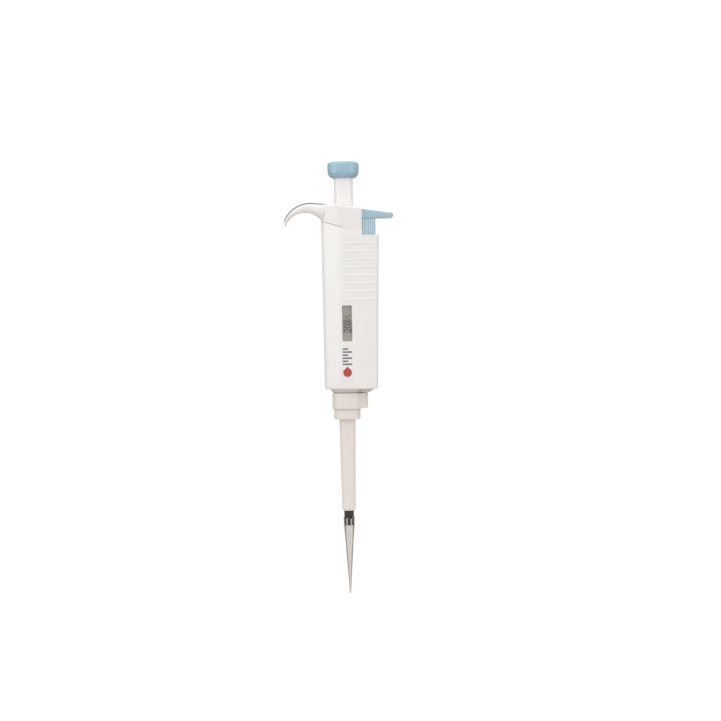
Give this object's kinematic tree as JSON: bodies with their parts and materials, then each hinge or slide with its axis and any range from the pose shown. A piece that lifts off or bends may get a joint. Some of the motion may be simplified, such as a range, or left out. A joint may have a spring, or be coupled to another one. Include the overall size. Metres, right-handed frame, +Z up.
{
  "type": "adjustable micropipette",
  "caption": "Single-channel adjustable micropipette with plunger button, finger hook, side tip ejector, volume display and a fitted disposable tip.",
  "frame": {"origin": "centre of the nozzle's lower end, on the plunger axis, where a disposable tip goes on", "axes": "+Z up the plunger axis from the nozzle to the button; -X towards the finger hook and +X towards the tip ejector; the volume display faces -Y"},
  "size_m": [0.071, 0.0253, 0.2788],
  "materials": {
    "white_plastic": "moulded white housing plastic, fine satin texture",
    "stem_plastic": "smooth white plastic with a soft gloss",
    "shaft_plastic": "warm off-white satin plastic",
    "blue_plastic": "pale blue satin plastic",
    "blue_inlay": "pale blue soft inlay",
    "clear_plastic": "clear polycarbonate window",
    "tip_plastic": "clear to slightly cloudy polypropylene",
    "display_plastic": "grey-beige display plastic",
    "label_film": "thin printed label film",
    "bearing_plastic": "natural acetal",
    "seal_plastic": "low-friction sealing plastic",
    "dark_plastic": "dark grey chemical-resistant plastic",
    "rubber": "black rubber",
    "steel": "ground stainless steel",
    "spring_steel": "bright spring wire",
    "brass": "turned brass"
  },
  "bodies": {
    "handle": {"handle_shell": "white_plastic", "hook_cap": "white_plastic", "hook_inlay": "blue_inlay", "stem_bush": "bearing_plastic", "window_lens": "clear_plastic", "display_mask": "display_plastic", "label_plate": "label_film", "counter_frame": "bearing_plastic", "setting_nut": "brass", "pinion_shaft": "steel", "stop_circlip": "steel", "blowout_spring": "spring_steel", "piston_seal": "seal_plastic", "seal_oring": "rubber", "seal_retainer": "steel", "lower_barrel": "shaft_plastic", "nozzle": "dark_plastic", "coupling_nut": "shaft_plastic", "ejector_spring": "spring_steel", "spring_pin": "steel"},
    "stop_carrier": {"stop_plate": "steel", "piston_spring": "spring_steel"},
    "plunger": {"piston_head": "bearing_plastic", "piston": "steel"},
    "dial": {"plunger_button": "blue_plastic", "plunger_stem": "stem_plastic", "push_rod": "steel", "rod_circlip": "steel"},
    "volume_drive": {"volume_screw": "steel", "wheel_units": "display_plastic"},
    "tens_wheel": {"wheel_tens": "display_plastic"},
    "hundreds_wheel": {"wheel_hundreds": "display_plastic"},
    "units_pinion": {"pinion_units": "bearing_plastic"},
    "tens_pinion": {"pinion_tens": "bearing_plastic"},
    "ejector": {"ejector_button": "blue_plastic", "ejector_bar": "shaft_plastic", "bar_pin": "steel", "ejector_collar": "shaft_plastic", "sleeve_lock_ring": "shaft_plastic", "ejector_sleeve": "shaft_plastic"},
    "tip": {"pipette_tip": "tip_plastic"}
  },
  "joints": [
    {"name": "blowout_press", "type": "slide", "parent": "handle", "child": "stop_carrier", "axis": [0, 0, -1], "range_m": [0, 0.003], "stiffness_N_per_m": 2000, "springref_m": -0.004, "deforming": ["blowout_spring"]},
    {"name": "plunger_press", "type": "slide", "parent": "stop_carrier", "child": "plunger", "axis": [0, 0, -1], "range_m": [0, 0.0126], "stiffness_N_per_m": 300, "springref_m": -0.009, "deforming": ["piston_spring"]},
    {"name": "volume_dial", "type": "hinge", "parent": "plunger", "child": "dial", "pos_m": [0, 0, 0.2], "axis": [0, 0, 1], "range_deg": [-6480, 0]},
    {"name": "screw_turn", "type": "hinge", "parent": "handle", "child": "volume_drive", "pos_m": [0, 0, 0.15], "axis": [0, 0, 1], "range_deg": [-6480, 0]},
    {"name": "tens_turn", "type": "hinge", "parent": "handle", "child": "tens_wheel", "pos_m": [0, 0, 0.1285], "axis": [0, 0, 1], "range_deg": [-648, 0]},
    {"name": "hundreds_turn", "type": "hinge", "parent": "handle", "child": "hundreds_wheel", "pos_m": [0, 0, 0.1261], "axis": [0, 0, 1], "range_deg": [-64.8, 0]},
    {"name": "units_pinion_turn", "type": "hinge", "parent": "handle", "child": "units_pinion", "pos_m": [-0.0109, 0, 0.1297], "axis": [0, 0, 1], "range_deg": [0, 1620]},
    {"name": "tens_pinion_turn", "type": "hinge", "parent": "handle", "child": "tens_pinion", "pos_m": [-0.0109, 0, 0.1273], "axis": [0, 0, 1], "range_deg": [0, 162]},
    {"name": "ejector_press", "type": "slide", "parent": "handle", "child": "ejector", "axis": [0, 0, -1], "range_m": [0, 0.0105], "stiffness_N_per_m": 350, "springref_m": -0.011, "deforming": ["ejector_spring"]},
    {"name": "tip_release", "type": "slide", "parent": "handle", "child": "tip", "axis": [0, 0, -1], "range_m": [0, 0.0063]}
  ],
  "couplings": [
    {"joint": "screw_turn", "follows": "volume_dial", "ratio": 1},
    {"joint": "tens_turn", "follows": "volume_dial", "ratio": 0.1},
    {"joint": "hundreds_turn", "follows": "volume_dial", "ratio": 0.01},
    {"joint": "units_pinion_turn", "follows": "volume_dial", "ratio": -0.25},
    {"joint": "tens_pinion_turn", "follows": "volume_dial", "ratio": -0.025},
    {"joint": "tip_release", "follows": "ejector_press", "ratio": 0.6}
  ]
}
